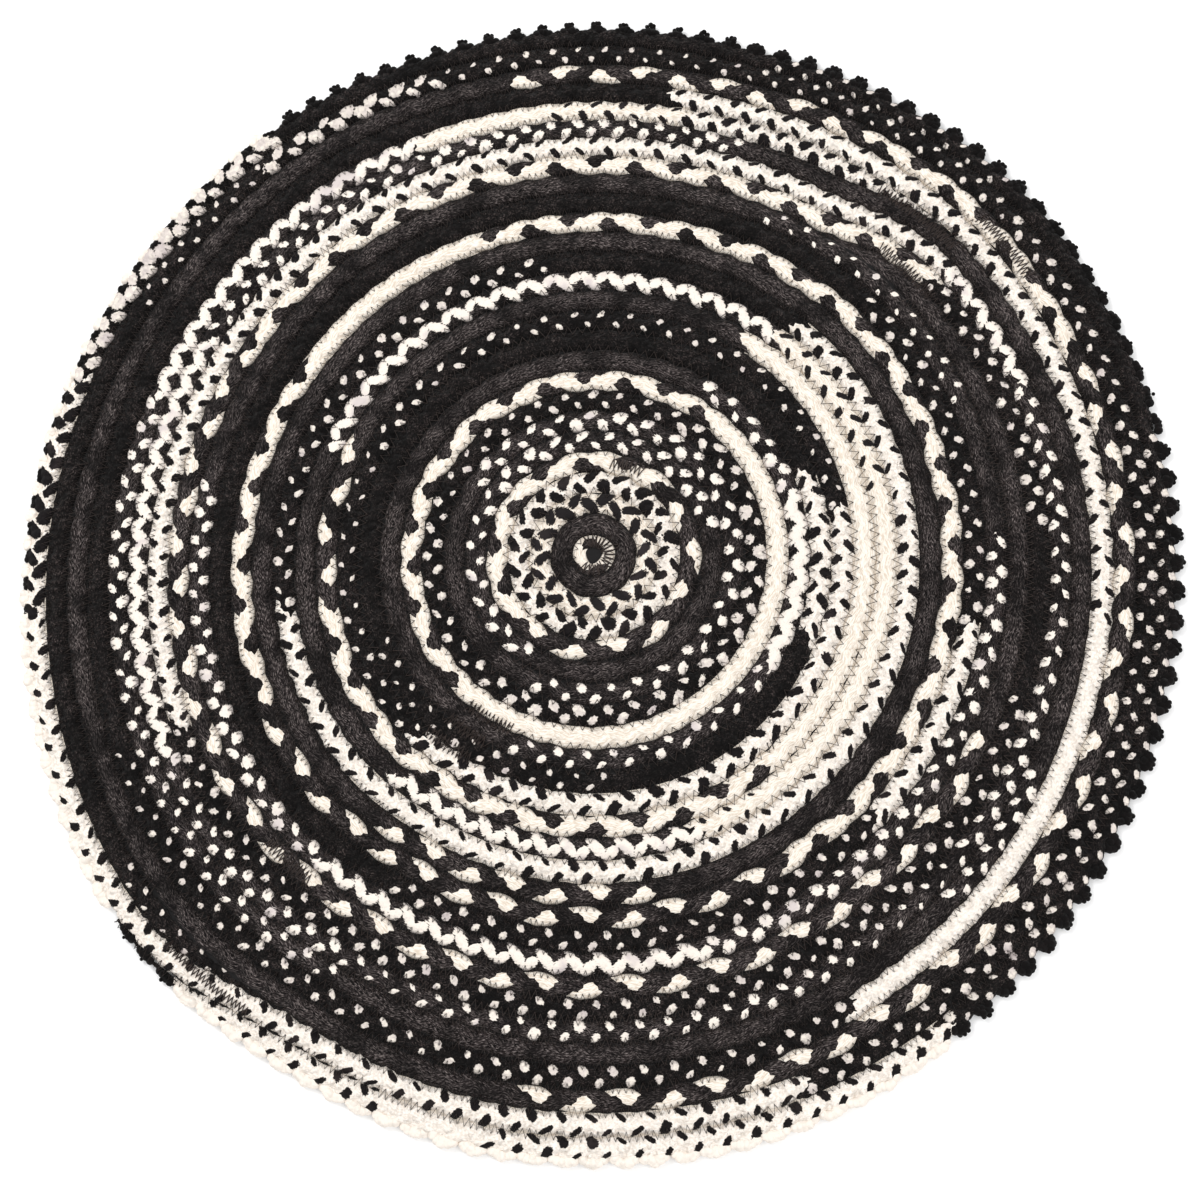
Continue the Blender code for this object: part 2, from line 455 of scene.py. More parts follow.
def plait_tree():
    """Sways and lifts each strand's line as a three-strand plait does, then makes the strand on it."""
    sizes = ("Plait", "Sway", "Turn", "Lag", "Lift", "Pinch", "Puffs", "Width", "Thickness", "Flatness",
             "Lumps", "Lump Size", "Floor Gap")
    tree, inputs = new_tree("plait", {
        **{size: "Float" for size in sizes}, "Sides": "Int", "Yarn": "Material"})
    named = "GeometryNodeInputNamedAttribute"
    squeeze, turns, braid = [add(tree, named, {"Name": name}) for name in ("squeeze", "turns", "braid")]
    outward, middle, around = [add(tree, named, {"Name": name}, data_type="FLOAT_VECTOR")
                               for name in ("outward", "middle", "around")]
    place = add(tree, "GeometryNodeInputPosition")
    kept = add(tree, "GeometryNodeStoreNamedAttribute",
               {"Geometry": inputs["Geometry"], "Name": "middle", "Value": place}, data_type="FLOAT_VECTOR")
    lines = add(tree, "GeometryNodeMeshToCurve", {"Mesh": kept})

    # In each plait a strand sways out and back once, and rises over and dips under the others twice
    late = add(tree, MATH, [turns, inputs["Lag"]], "SUBTRACT")
    late = add(tree, MATH, [late, math.tau], "MULTIPLY")
    sway = add(tree, MATH, [late], "SINE")
    sway = add(tree, MATH, [sway, inputs["Turn"]], "MULTIPLY")
    sway = add(tree, MATH, [sway], "TANH")
    most = add(tree, MATH, [inputs["Turn"]], "TANH")
    sway = add(tree, MATH, [sway, most], "DIVIDE")
    sway = add(tree, MATH, [sway, inputs["Sway"]], "MULTIPLY")
    sway = add(tree, MATH, [sway, squeeze], "MULTIPLY")
    over = add(tree, MATH, [turns, -2 * math.tau], "MULTIPLY")
    over = add(tree, MATH, [over], "SINE")
    lift = add(tree, MATH, [over, inputs["Lift"]], "MULTIPLY")
    lift = add(tree, MATH, [lift, squeeze], "MULTIPLY")
    aside = add(tree, VECTOR_MATH, [outward, sway], "SCALE")
    up = add(tree, COMBINE, {"Z": lift})
    offset = add(tree, VECTOR_MATH, [aside, up])
    swayed = add(tree, "GeometryNodeSetPosition", {"Geometry": lines, "Offset": offset})
    level = add(tree, "GeometryNodeSetCurveNormal", {"Curve": swayed}, mode="Z_UP")

    # It is thinner where it dips under, and chenille puffs up a little between its turns
    under = add(tree, MATH, [over, 0.0], "MINIMUM")
    pinched = add(tree, MATH, [under, inputs["Pinch"], 1.0], "MULTIPLY_ADD")
    puffs = add(tree, MATH, [turns, math.pi * RINGS_PER_PLAIT], "MULTIPLY")
    puffs = add(tree, MATH, [puffs], "COSINE")
    puffs = add(tree, MATH, [puffs, inputs["Puffs"], 1.0], "MULTIPLY_ADD")
    pinched = add(tree, MATH, [pinched, puffs], "MULTIPLY")
    pinched = add(tree, MATH, [pinched, squeeze], "MULTIPLY")

    # Its section is an oval with flattened faces, and keeps where each point lies around it
    circle = add(tree, "GeometryNodeCurvePrimitiveCircle", {"Resolution": inputs["Sides"], "Radius": 1.0})
    marked = add(tree, "GeometryNodeStoreNamedAttribute",
                 {"Geometry": circle, "Name": "around", "Value": place}, data_type="FLOAT_VECTOR")
    spot = add(tree, SEPARATE, [place]).outputs
    boxy = add(tree, MATH, [spot["Y"]], "ABSOLUTE")
    boxy = add(tree, MATH, [boxy, inputs["Flatness"]], "POWER")
    side = add(tree, MATH, [spot["Y"]], "SIGN")
    boxy = add(tree, MATH, [boxy, side], "MULTIPLY")
    boxy = add(tree, COMBINE, [spot["X"], boxy])
    boxed = add(tree, "GeometryNodeSetPosition", {"Geometry": marked, "Position": boxy})
    halves = [add(tree, MATH, [inputs[size], 0.5], "MULTIPLY") for size in ("Width", "Thickness")]
    half = add(tree, COMBINE, [*halves, 1.0])
    section = add(tree, "GeometryNodeTransform", {"Geometry": boxed, "Scale": half})
    strands = add(tree, "GeometryNodeCurveToMesh",
                  {"Curve": level, "Profile Curve": section, "Scale": pinched, "Fill Caps": True})

    # Where each point lies in the braid: metres along it, outwards from its middle line, and the face
    off = add(tree, VECTOR_MATH, [place, middle], "SUBTRACT")
    ahead = add(tree, VECTOR_MATH, [(0.0, 0.0, 1.0), outward], "CROSS_PRODUCT")
    forward = add(tree, VECTOR_MATH, [off, ahead], "DOT_PRODUCT")
    lateral = add(tree, VECTOR_MATH, [off, outward], "DOT_PRODUCT")
    face = add(tree, SEPARATE, [around]).outputs["Y"]
    along = add(tree, MATH, [braid, inputs["Plait"], forward], "MULTIPLY_ADD")
    weave = add(tree, COMBINE, [along, lateral, face])
    placed = add(tree, "GeometryNodeStoreNamedAttribute",
                 {"Geometry": strands, "Name": "weave", "Value": weave}, data_type="FLOAT_VECTOR")

    # Lumps in the yarn, and an underside that is pressed flat above the floor
    fineness = add(tree, MATH, [1.0, inputs["Lump Size"]], "DIVIDE")
    grain = add(tree, "ShaderNodeTexNoise", {"Scale": fineness, "Detail": 1.0})
    height = add(tree, MATH, [grain, 0.5], "SUBTRACT")
    height = add(tree, MATH, [height, 2.0], "MULTIPLY")
    height = add(tree, MATH, [height, inputs["Lumps"]], "MULTIPLY")
    normal = add(tree, "GeometryNodeInputNormal")
    bulge = add(tree, VECTOR_MATH, [normal, height], "SCALE")
    lumpy = add(tree, "GeometryNodeSetPosition", {"Geometry": placed, "Offset": bulge})
    high = add(tree, MATH, [spot["Z"], inputs["Floor Gap"]], "MAXIMUM")
    pressed = add(tree, COMBINE, [spot["X"], spot["Y"], high])
    flat_under = add(tree, "GeometryNodeSetPosition", {"Geometry": lumpy, "Position": pressed})
    close_tree(tree, flat_under, inputs["Yarn"])
    return tree


def linear(hex_colour):
    """An sRGB hex colour as the linear numbers that a shader takes."""
    channels = [int(hex_colour[i:i + 2], 16) / 255 for i in (1, 3, 5)]
    return [c / 12.92 if c <= 0.04045 else ((c + 0.055) / 1.055) ** 2.4 for c in channels] + [1.0]


def new_material(name):
    """A new material, with its node tree and its shader."""
    material = bpy.data.materials.new(name)
    material.use_nodes = True
    return material, material.node_tree, material.node_tree.nodes["Principled BSDF"]


# A fleck is a small leaf of the other colour that lies slantwise in each half of the braid. In a
# zigzag the inner one reaches right across, and the outer one joins it to the next. On pale yarn
# they are slimmer and run out to the edges
FLECK_SLANT = math.radians(47)
FLECK_PLACE = 0.05
FLECK_EDGE = 0.05
FLECK_TAPER = 16.0
FLECK_POINT = 0.3
FLECK_BLUNTNESS = 1.9
PALE_BLUNTNESS = 2.6
FLECKS = {
    # side: (leaf, zigzag, leaf on pale), each as metres from the middle, along, in length and in width
    1: ((0.0057, 0.0, 0.0140, 0.0098), (0.0038, 0.0053, 0.0200, 0.0110), (0.0072, 0.0, 0.0160, 0.0072)),
    -1: ((0.0057, 0.0, 0.0140, 0.0098), (0.0012, 0.0048, 0.0285, 0.0114), (0.0070, 0.0, 0.0150, 0.0078)),
}

# How much single flecks differ: in place, as a share of their spacing, in slant, in radians, and in
# width, size and bluntness. In a zigzag they differ less, by the share of ZIGZAG_ORDER
FLECK_STRAY = 0.10
FLECK_TILT = 0.6
FLECK_FATNESS = 0.3
FLECK_SPREAD = 0.44
FLECK_VARIETY = 1.2
ZIGZAG_ORDER = 0.8

# The yarns, all dull and without gloss. Brushed cotton is a bundle of soft yarns side by side, so it
# looks streaked along the strand. Chenille is a cord of short pile, so it looks mottled, with painted
# shade in the hollows between its tufts. Single fibres are too fine to show, so they are drawn half a
# yarn thick
YARNS = {
    # letter: (name, colour, shade between yarns, lint, fleck, faded fleck, yarn size, bump depth)
    "b": ("smooth_black_cotton", "#2a2424", "#070505", "#887e7b", "#ece3d8", "#cdc3c0", 0.0016, 0.0010),
    "c": ("smooth_cream_cotton", "#eee6db", "#d2c4b3", "#f7f1e9", "#1c191a", "#2c2728", 0.0016, 0.0009),
    "K": ("black_chenille", "#191414", "#050404", "#5a504d", "#e9e0d5", "#c6bbb8", 0.0026, 0.0024),
    "W": ("cream_chenille", "#f5ede4", "#e4d9cd", "#fbf6f0", "#131011", "#2a2424", 0.0026, 0.0022),
}

# How much painted shade each yarn takes, as the share of its shade colour that is mixed in
YARN_SHADE = {
    # letter: (in the seams, in the hollows of the pile, along the edges of a strand)
    "b": (0.85, 0.50, 0.70),
    "c": (0.06, 0.10, 0.32),
    "K": (0.85, 0.50, 0.70),
    "W": (0.06, 0.10, 0.08),
}

# The tufts of the pile and how far each reaches, the patches of fading, and how many times longer
# the streaks are along a strand than across it
TUFT_SIZE = 0.0070
TUFT_REACH = 0.86
PATCH_SIZE = 0.030
SMOOTH_STREAKS = 4
PILE_STREAKS = 1.3

# How far the tufts, the lint, the puffs and the flecks stand up beside the yarns
TUFT_RELIEF = 2.0
LINT_RELIEF = 0.7
PUFF_RELIEF = 0.35
FLECK_RELIEF = 0.5


def fleck_mask(tree, weave, size, zigzag, facing, pale, ragged):
    """1 on the flecks and 0 off them, in the braid's own measure of along, outwards and face."""
    parts = add(tree, SEPARATE, [weave]).outputs
    face = add(tree, MATH, [parts["Z"], -1.0], "MULTIPLY")
    face = add(tree, MATH, [face], "SIGN")
    below = add(tree, MATH, [face, -0.25 * PLAIT, 0.25 * PLAIT], "MULTIPLY_ADD")
    onward = add(tree, MATH, [face, facing], "MULTIPLY")
    along = add(tree, MATH, [parts["X"], onward, below], "MULTIPLY_ADD")
    loose = add(tree, MATH, [zigzag, -ZIGZAG_ORDER, 1.0], "MULTIPLY_ADD")
    blunt = add(tree, MATH, [zigzag, -0.1, PALE_BLUNTNESS if pale else FLECK_BLUNTNESS], "MULTIPLY_ADD")
    full = add(tree, MATH, [size, 1.0], "MINIMUM")
    ragged = add(tree, MATH, [ragged, full], "MULTIPLY")
    masks = []
    for side, (on_black, joined, on_pale) in FLECKS.items():
        row, lead, length, width = [add(tree, MATH, [zigzag, b - a, a], "MULTIPLY_ADD")
                                    for a, b in zip(on_pale if pale else on_black, joined)]

        # Which fleck this is, counted along the braid, and its three random numbers
        count = add(tree, MATH, [along, lead], "SUBTRACT")
        count = add(tree, MATH, [count, 3 / PLAIT], "MULTIPLY")
        count = add(tree, MATH, [count, 0.25 - FLECK_PLACE + 0.25 * side], "ADD")
        cell = add(tree, MATH, [count], "FLOOR")
        seed = add(tree, MATH, [cell, 2.0, side], "MULTIPLY_ADD")
        chance = add(tree, "ShaderNodeTexWhiteNoise", {"W": seed}, noise_dimensions="1D").outputs["Color"]
        jitter = [add(tree, MATH, [output, 0.5], "SUBTRACT")
                  for output in add(tree, "ShaderNodeSeparateColor", [chance]).outputs]
        jitter = [add(tree, MATH, [part, loose], "MULTIPLY") for part in jitter]

        # The place on it: along the braid and outwards, then along the leaf and across it
        ahead = add(tree, MATH, [count, cell], "SUBTRACT")
        ahead = add(tree, MATH, [ahead, 0.5], "SUBTRACT")
        ahead = add(tree, MATH, [jitter[0], FLECK_STRAY, ahead], "MULTIPLY_ADD")
        ahead = add(tree, MATH, [ahead, PLAIT / 3], "MULTIPLY")
        out = add(tree, MATH, [parts["Y"], side], "MULTIPLY")
        out = add(tree, MATH, [out, row], "SUBTRACT")
        slant = add(tree, MATH, [jitter[2], FLECK_TILT, FLECK_SLANT], "MULTIPLY_ADD")
        cosine, sine = [add(tree, MATH, [slant], name) for name in ("COSINE", "SINE")]
        long = [add(tree, MATH, pair, "MULTIPLY") for pair in ([out, sine], [ahead, cosine])]
        long = add(tree, MATH, long, "SUBTRACT")
        wide = [add(tree, MATH, pair, "MULTIPLY") for pair in ([ahead, sine], [out, cosine])]
        wide = add(tree, MATH, wide, "ADD")

        # Both as shares of the leaf's size, which tapers towards one end
        taper = add(tree, MATH, [long, loose], "MULTIPLY")
        taper = add(tree, MATH, [taper, -FLECK_TAPER, 1.0], "MULTIPLY_ADD")
        taper = add(tree, MATH, [taper, FLECK_POINT], "MAXIMUM")
        half_width = add(tree, MATH, [jitter[2], FLECK_FATNESS, 0.5], "MULTIPLY_ADD")
        half_width = add(tree, MATH, [half_width, width], "MULTIPLY")
        half_length = add(tree, MATH, [length, 0.5], "MULTIPLY")
        wide = add(tree, MATH, [wide], "ABSOLUTE")
        wide = add(tree, MATH, [wide, half_width], "DIVIDE")
        wide = add(tree, MATH, [wide, taper], "DIVIDE")
        long = add(tree, MATH, [long], "ABSOLUTE")
        long = add(tree, MATH, [long, half_length], "DIVIDE")

        # A pointed or a blunt outline round it, of this fleck's own size, with a ragged edge
        shape = add(tree, MATH, [jitter[0], FLECK_VARIETY, blunt], "MULTIPLY_ADD")
        reach = [add(tree, MATH, [part, shape], "POWER") for part in (long, wide)]
        reach = add(tree, MATH, reach, "ADD")
        root = add(tree, MATH, [1.0, shape], "DIVIDE")
        reach = add(tree, MATH, [reach, root], "POWER")
        varied = add(tree, MATH, [jitter[1], FLECK_SPREAD, 1.0], "MULTIPLY_ADD")
        varied = add(tree, MATH, [size, varied], "MULTIPLY")
        edge = add(tree, MATH, [varied, reach], "SUBTRACT")
        edge = add(tree, MATH, [edge, ragged], "ADD")
        masks.append(add(tree, "ShaderNodeMapRange",
                         {"Value": edge, "From Min": -FLECK_EDGE, "From Max": FLECK_EDGE}))
    return add(tree, MATH, masks, "MAXIMUM")


def yarn_material(letter):
    """Cotton yarn in the strand's own coordinates: fibres run along it, and flecks sit on top of it."""
    name, *colours, size, depth = YARNS[letter]
    colour, shade, lint, fleck_colour, faded = [linear(hex_colour) for hex_colour in colours]
    in_seams, in_hollows, at_edges = YARN_SHADE[letter]
    pale = letter in "cW"
    fluffy = letter in "KW"
    material, tree, shader = new_material(name)
    around, weave = [add(tree, "ShaderNodeAttribute", attribute_name=value).outputs["Vector"]
                     for value in ("around", "weave")]
    turns, fleck, zigzag, facing = [add(tree, "ShaderNodeAttribute", attribute_name=value).outputs["Fac"]
                                    for value in ("turns", "fleck", "zigzag", "facing")]
    sides = add(tree, SEPARATE, [around]).outputs
    across, depthwise = [add(tree, MATH, [sides[axis], 0.5 * STRAND["Width"]], "MULTIPLY") for axis in "XY"]

    # Smooth yarns lie side by side, so their noise is stretched along the strand; pile has no direction
    along = add(tree, MATH, [turns, PLAIT / (PILE_STREAKS if fluffy else SMOOTH_STREAKS)], "MULTIPLY")
    lay = add(tree, COMBINE, [along, across, depthwise])
    place = add(tree, "ShaderNodeTexCoord").outputs["Object"]
    yarns, fibres, pile, patches = [
        add(tree, "ShaderNodeTexNoise", {"Vector": vector, "Scale": 1 / grain, "Detail": detail})
        for vector, grain, detail in (
            (lay, size, 2.0), (lay, 0.5 * size, 2.0), (place, 1.25 * size, 3.0), (place, PATCH_SIZE, 2.0))]
    tufts = pile
    if fluffy:
        nearest = add(tree, "ShaderNodeTexVoronoi",
                      {"Vector": place, "Scale": 1 / TUFT_SIZE, "Smoothness": 0.3}, feature="SMOOTH_F1")
        tufts = add(tree, MATH, [TUFT_REACH, nearest], "SUBTRACT")

    ragged = add(tree, MATH, [pile, 0.5, -0.25], "MULTIPLY_ADD")
    streaks = add(tree, MATH, [yarns, 1.0, -0.5], "MULTIPLY_ADD")
    ragged = add(tree, MATH, [ragged, streaks], "ADD")
    on_fleck = fleck_mask(tree, weave, fleck, zigzag, facing, pale, ragged)

    # How far each noise or distance has come from start to end, as a share from low to high: the
    # yarns' own colour, lint, faded flecks, and the painted shade in the seams, in the hollows of the pile
    # and along the edges of the strand
    lateral = add(tree, SEPARATE, [weave]).outputs["Y"]
    off_braid, off_strand = [add(tree, MATH, [value], "ABSOLUTE") for value in (lateral, sides["X"])]
    own, linty, fading, seam, hollow, edge = [
        add(tree, "ShaderNodeMapRange", {
            "Value": value, "From Min": start, "From Max": end, "To Min": low, "To Max": high})
        for value, start, end, low, high in (
            (yarns, 0.38, 0.58, 0.0, 1.0),
            (fibres, 0.54 if pale else 0.52, 0.76 if pale else 0.74, 0.0, 1.0),
            (patches, 0.58, 0.70, 0.0, 1.0),
            (off_braid, 0.0078, 0.0120, 0.0, in_seams),
            (tufts, 0.32, 0.46, in_hollows, 0.0),
            (off_strand, 0.74, 1.0, 0.0, at_edges),
        )]
    body = add(tree, MIX, [own, shade, colour], data_type="RGBA")
    body = add(tree, MIX, [linty, body, lint], data_type="RGBA")
    if not pale:
        deeper = add(tree, "ShaderNodeMapRange", {
            "Value": patches, "From Min": 0.36, "From Max": 0.60, "To Min": 0.8, "To Max": 0.0})
        body = add(tree, MIX, [deeper, body, shade], data_type="RGBA")
    splice = add(tree, MIX, [fading, fleck_colour, faded], data_type="RGBA")
    half_linty = add(tree, MATH, [linty, 0.5, 0.0], "MULTIPLY_ADD")
    splice = add(tree, MIX, [half_linty, splice, faded], data_type="RGBA")
    coloured = add(tree, MIX, [on_fleck, body, splice], data_type="RGBA")

    # Painted shade: in the seams, along the strands' edges and between the tufts of the pile less light
    # comes back, so the colour is mixed towards the shade colour, and on a fleck towards its faded colour
    shaded = add(tree, MATH, [seam, hollow], "MAXIMUM")
    shaded = add(tree, MATH, [shaded, edge], "MAXIMUM")
    dim = add(tree, MIX, [on_fleck, shade, faded], data_type="RGBA")
    coloured = add(tree, MIX, [shaded, coloured, dim], data_type="RGBA")
    relief = add(tree, MATH, [tufts, TUFT_RELIEF if fluffy else LINT_RELIEF, yarns], "MULTIPLY_ADD")
    if fluffy:
        puffs = add(tree, MATH, [turns, math.pi * RINGS_PER_PLAIT], "MULTIPLY")
        puffs = add(tree, MATH, [puffs], "COSINE")
        relief = add(tree, MATH, [puffs, PUFF_RELIEF, relief], "MULTIPLY_ADD")
    relief = add(tree, MATH, [on_fleck, FLECK_RELIEF, relief], "MULTIPLY_ADD")
    bump = add(tree, "ShaderNodeBump", {"Height": relief, "Strength": 0.8, "Distance": depth})
    give(tree, shader, {"Base Color": coloured, "Roughness": 0.95, "Specular IOR Level": 0.1,
                        "Sheen Weight": 0.04, "Sheen Roughness": 0.6, "Normal": bump})
    return material


yarn_materials = {letter: yarn_material(letter) for letter in YARNS}
plait = plait_tree()
braid_pieces = []
for (letter, zone), runs in strand_runs.items():
    fluffy = letter in "KW"
    name = f"{YARNS[letter][0]}_strands" + ("" if zone == "all" else f"_{zone}")
    piece = grow(make_guides(name + "_lines", runs), plait, name, {
        **STRAND,
        "Puffs": 0.06 if fluffy else 0.0,
        "Lumps": 0.0022 if fluffy else 0.0003,
        "Lump Size": 0.006 if fluffy else 0.010,
        "Yarn": yarn_materials[letter],
    })
    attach(piece, "root")
    braid_pieces.append(piece)


# ----------------------------------------------------------------------
# The inside of the coil. Between the strands' faces the braid is packed cotton, which shows only
# as shadow in the gaps of the seams, so its colour is painted shade: near black under black braid
# and a shaded cream under pale braid. It is the rug's whole cloth, lying flat.
# ----------------------------------------------------------------------

CORE_INSET = 0.008
CORE_THICKNESS = 0.0016
CORE_STEPS = 240
CORE_FIBRES = 0.0025

# Its painted shade stays dark under the tapered start of a coil, for this many degrees
STEP_SHADE = 30


def kind_at(ring, degrees):
    """The kind of braid at this angle on this round."""
    rows = PATTERN[ring]
    opens = rows[0][0]
    for start, kind in reversed(rows):
        if (degrees - opens) % 360 >= (start - opens) % 360:
            return kind


def step_angle(ring):
    """Where the coil that this round belongs to opens, in degrees."""
    return PATTERN[max(first for first in coils if first <= ring)][0][0]


def make_core():
    """A flat disc in rings, one to each round, each face marked by how pale the braid over it is."""
    degrees = np.arange(CORE_STEPS) * 360 / CORE_STEPS
    edges = [0.5 + CORE_INSET / BRAID_WIDTH] + [ring + 0.5 for ring in range(1, ROUNDS)]
    rings = [on_rug(degrees, edge) for edge in edges]
    halves = (0.5 * CORE_THICKNESS, -0.5 * CORE_THICKNESS)
    vertices = [ring + [0, 0, half] for half in halves for ring in rings]
    vertices = np.concatenate(vertices + [[[0, 0, MID_HEIGHT + half]] for half in halves])
    faces = []
    pale = []
    below = ROUNDS * CORE_STEPS
    for ring in range(ROUNDS):
        for i in range(CORE_STEPS):
            after = (i + 1) % CORE_STEPS
            a, b = ring * CORE_STEPS + i, ring * CORE_STEPS + after
            strands = KINDS[kind_at(ring + 1, degrees[i])][0]
            stepping = (degrees[i] - step_angle(ring + 1)) % 360 < STEP_SHADE
            covered = ring < ROUNDS - 2 and not stepping
            pale += 2 * [float(covered and all(letter in "cW" for letter in strands))]
            if ring == ROUNDS - 1:
                faces += [(2 * below, a, b), (2 * below + 1, below + b, below + a)]
                continue
            c, d = a + CORE_STEPS, b + CORE_STEPS
            faces += [(a, b, d, c), (below + b, below + a, below + c, below + d)]
    for i in range(CORE_STEPS):
        after = (i + 1) % CORE_STEPS
        faces.append((i, below + i, below + after, after))
        pale.append(0)
    mesh = bpy.data.meshes.new("packed_cotton_core")
    mesh.from_pydata(vertices.tolist(), [], faces)
    mesh.attributes.new("pale", "FLOAT", "FACE").data.foreach_set("value", pale)
    return new_object("packed_cotton_core", mesh)


def core_material():
    """The hidden sides of the yarn: the colour of the round they are in, darkened as painted shade."""
    material, tree, shader = new_material("packed_cotton_in_shade")
    place = add(tree, "ShaderNodeTexCoord").outputs["Object"]
    fibres = add(tree, "ShaderNodeTexNoise", {"Vector": place, "Scale": 1 / CORE_FIBRES, "Detail": 3.0})
    dark = add(tree, MIX, [fibres, linear("#070606"), linear("#141213")], data_type="RGBA")
    light = add(tree, MIX, [fibres, linear("#c9bdae"), linear("#e9e0d4")], data_type="RGBA")
    pale = add(tree, "ShaderNodeAttribute", attribute_name="pale").outputs["Fac"]
    coloured = add(tree, MIX, [pale, dark, light], data_type="RGBA")
    give(tree, shader, {"Base Color": coloured, "Roughness": 1.0})
    return material


core = make_core()
core.data.materials.append(core_material())
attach(core, "root")
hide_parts("braided_rug")


# ----------------------------------------------------------------------
# The rim. The outer edge isn't sewn to anything, so the chenille there stands out in lumps where
# each strand folds over, with a notch between them.
# ----------------------------------------------------------------------

# The lumps at each fold, by yarn: millimetres along the rim, out of it and in radius
RIM_SHAPES = {
    "lobes": {"K": (
        (-7.0, -11.0, 4.5), (0.0, -9.5, 5.0), (7.0, -11.0, 4.5), (-6.5, -8.0, 4.4), (-3.0, -5.2, 4.6),
        (2.5, -5.0, 4.6), (6.5, -7.8, 4.4), (-4.5, -2.4, 2.6), (0.0, -1.2, 2.8), (4.5, -2.2, 2.6),
    )},
    "bumps": {"K": (
        (-8.0, -6.5, 4.6), (-3.0, -5.5, 4.6), (2.0, -5.5, 4.6), (7.0, -6.5, 4.6), (0.0, -0.8, 2.0),
    )},
    "spikes": {"K": (
        (-8.0, -9.0, 4.6), (-3.5, -7.5, 4.6), (1.5, -7.0, 4.6), (6.5, -8.5, 4.6), (-2.4, -3.4, 3.4),
        (2.4, -3.6, 3.4), (-3.6, -0.4, 2.6), (0.2, 0.4, 2.8), (3.8, -0.8, 2.6),
    )},
    "puffs": {
        "K": ((-4.5, -9.0, 4.4), (0.0, -8.6, 4.6), (4.5, -9.0, 4.4)),
        "W": ((10.5, -6.0, 5.2), (14.7, -5.0, 5.6), (18.9, -6.0, 5.2)),
    },
    "two colours": {
        "W": ((-4.0, -5.6, 5.4), (0.0, -5.0, 5.6), (4.0, -5.4, 5.4)),
        "K": ((11.0, -7.6, 4.6), (15.0, -7.2, 4.6), (19.0, -7.6, 4.6)),
    },
    "scallops": {"W": (
        (-10.0, -6.8, 5.6), (-5.5, -4.4, 5.8), (0.0, -3.6, 6.0), (5.5, -4.2, 5.8), (10.5, -6.4, 5.6),
    )},
}
FOLD_PLACE = 0.6
LUMP_HEIGHT = 0.0046

# How far a lump may stray: in millimetres along the rim and out of it, in size, and in metres up
LUMP_SLIP = 0.8
LUMP_REACH = 1.0
LUMP_SIZES = (0.86, 1.14)
LUMP_RISE = 0.0012


def rim_runs():
    """The lumps as points by yarn, a group at each place where a strand of the outer round folds."""
    chance = np.random.default_rng(4)
    coil = coils[1]
    outermost = coil["degrees"] < PATTERN[1][0][0] + 360
    turns = coil["turns"][outermost]
    folds = np.arange(math.ceil(turns[0] * 3), math.floor(turns[-1] * 3)) + FOLD_PLACE
    degrees = np.interp(folds / 3, turns, coil["degrees"][outermost])
    lumps = {"K": [], "W": []}
    for angle in np.mod(degrees, 360):
        rows = [row for row in RIM if angle >= row[0]] or RIM
        edge = RUG_RADIUS + outline_offset(np.array([angle]))[0]
        shape = RIM_SHAPES[rows[-1][2]]
        for yarn, (along, out, radius) in [(yarn, row) for yarn in shape for row in shape[yarn]]:
            slip = along + chance.uniform(-LUMP_SLIP, LUMP_SLIP)
            turned = math.radians(angle) + slip * 0.001 / RUG_RADIUS
            reach = edge + (out + chance.uniform(-LUMP_REACH, LUMP_REACH)) * 0.001
            size = radius * 0.001 * chance.uniform(*LUMP_SIZES)
            height = MID_HEIGHT + chance.uniform(-LUMP_RISE, LUMP_RISE)
            place = (reach * math.cos(turned), reach * math.sin(turned), height)
            lumps[yarn].append((place, (size, size, min(size, LUMP_HEIGHT))))
    return {yarn: dict(zip(("place", "size"), np.array(rows).swapaxes(0, 1)))
            for yarn, rows in lumps.items()}


def lump_tree():
    """A small round lump on each point."""
    tree, inputs = new_tree("lumps", {"Yarn": "Material"})
    lump = add(tree, "GeometryNodeMeshIcoSphere", {"Radius": 1.0, "Subdivisions": 2})
    size = add(tree, "GeometryNodeInputNamedAttribute", {"Name": "size"}, data_type="FLOAT_VECTOR")
    lumps = add(tree, "GeometryNodeInstanceOnPoints",
                {"Points": inputs["Geometry"], "Instance": lump, "Scale": size})
    close_tree(tree, lumps, inputs["Yarn"])
    return tree


lumps = lump_tree()
for letter, run in rim_runs().items():
    name = f"{YARNS[letter][0]}_rim_lumps"
    guides = make_guides(name + "_points", [run])
    piece = grow(guides, lumps, name, {"Yarn": yarn_materials[letter]})
    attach(piece, "root")
    braid_pieces.append(piece)


# ----------------------------------------------------------------------
# The sewing thread. One dark brown zigzag runs along every seam and shows on both faces. Where a
# new length of braid starts, a closer and wider zigzag tacks its end down.
# ----------------------------------------------------------------------

OUTER_STITCH = 0.0068
INNER_STITCH = 0.0100
LONG_STITCHES_FROM_ROUND = 13
ZIGZAG_WIDTH = 0.0098
THREAD_WIDTH = 0.0014
STITCH_WIDTHS = (0.8, 1.15)
STITCH_SLIP = 0.09
THREAD_SIDES = 3
THREAD_RISE = 0.0006
DROP_HEIGHT = 0.03
PLY_SIZE = 0.002

# The tacked ends
TACKS = (
    # round, degrees from and to, stitch and width in metres
    (1.6, 223, 234, 0.0045, 0.010),
    (3.0, 33, 42, 0.0045, 0.014),
    (5.0, 41, 53, 0.0045, 0.014),
    (7.5, 38, 48, 0.0045, 0.014),
    (8.0, 222, 230, 0.0045, 0.014),
    (16.5, 227, 240, 0.0045, 0.015),
    (17.5, 229, 241, 0.0045, 0.015),
    (18.5, 231, 246, 0.0045, 0.015),
    (23.0, 60, 80, 0.0045, 0.014),
    (26.8, -40, 120, 0.0036, 0.016),
    (26.8, 225, 310, 0.0042, 0.014),
)


